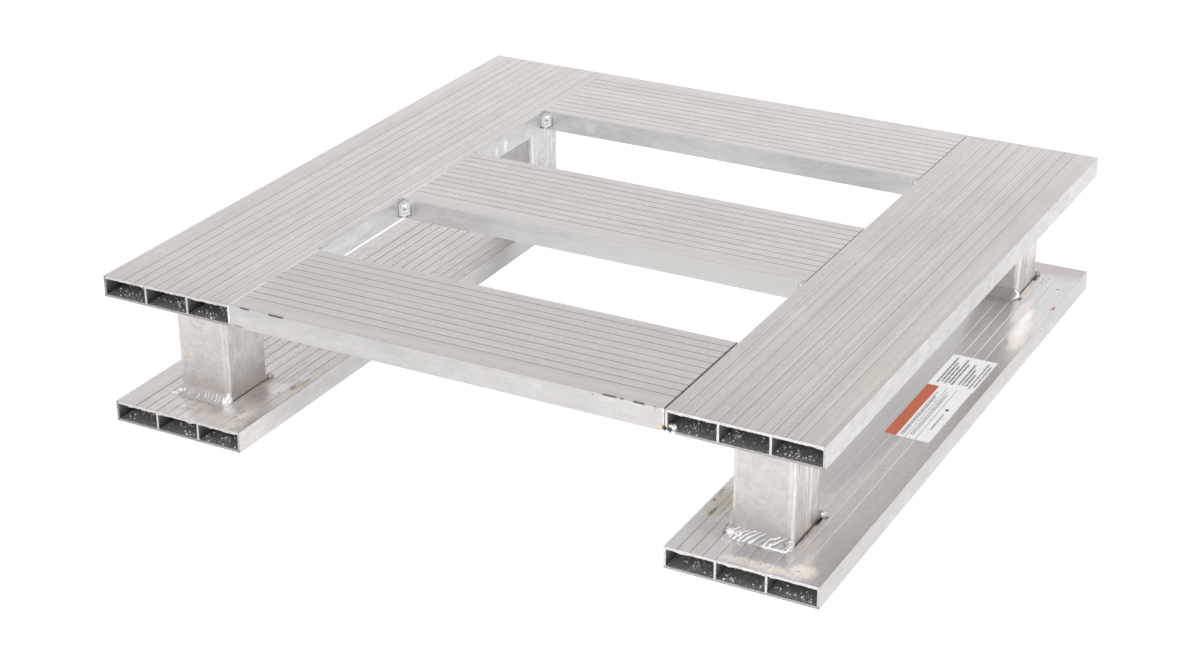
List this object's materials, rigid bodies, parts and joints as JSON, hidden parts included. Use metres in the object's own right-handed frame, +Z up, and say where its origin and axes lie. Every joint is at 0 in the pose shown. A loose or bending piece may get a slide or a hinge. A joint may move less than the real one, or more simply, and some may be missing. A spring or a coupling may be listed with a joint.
{
  "type": "aluminum pallet",
  "caption": "Square four-way pallet welded from hollow grooved aluminium planks: an open deck of crossed planks on short tube posts over floor runners.",
  "frame": {"origin": "on the floor, under the middle of the square deck", "axes": "+X to the right, +Y from the front to the rear along the runners, +Z up"},
  "size_m": [0.762, 0.762, 0.1587],
  "materials": {
    "plank": "mill finish extrusion, satin, lightly scuffed",
    "post": "abraded mill finish tube",
    "weld": "bright rippled weld bead",
    "sticker_banded": "printed film sticker with one coloured band",
    "sticker_plain": "printed film sticker"
  },
  "bodies": {
    "root": {"deck_side_left": "plank", "deck_side_right": "plank", "deck_cross_front": "plank", "deck_cross_middle": "plank", "deck_cross_rear": "plank", "base_runner_left": "plank", "base_runner_right": "plank", "post_front_left": "post", "post_front_right": "post", "post_rear_left": "post", "post_rear_right": "post", "weld_foot_front_left": "weld", "weld_foot_front_right": "weld", "weld_foot_rear_left": "weld", "weld_foot_rear_right": "weld", "weld_head_front_left": "weld", "weld_head_front_right": "weld", "weld_head_rear_left": "weld", "weld_head_rear_right": "weld", "weld_joint_front_left": "weld", "weld_joint_front_right": "weld", "weld_joint_middle_left": "weld", "weld_joint_middle_right": "weld", "weld_joint_rear_left": "weld", "weld_joint_rear_right": "weld", "band_sticker": "sticker_banded", "plain_sticker": "sticker_plain"}
  },
  "joints": []
}
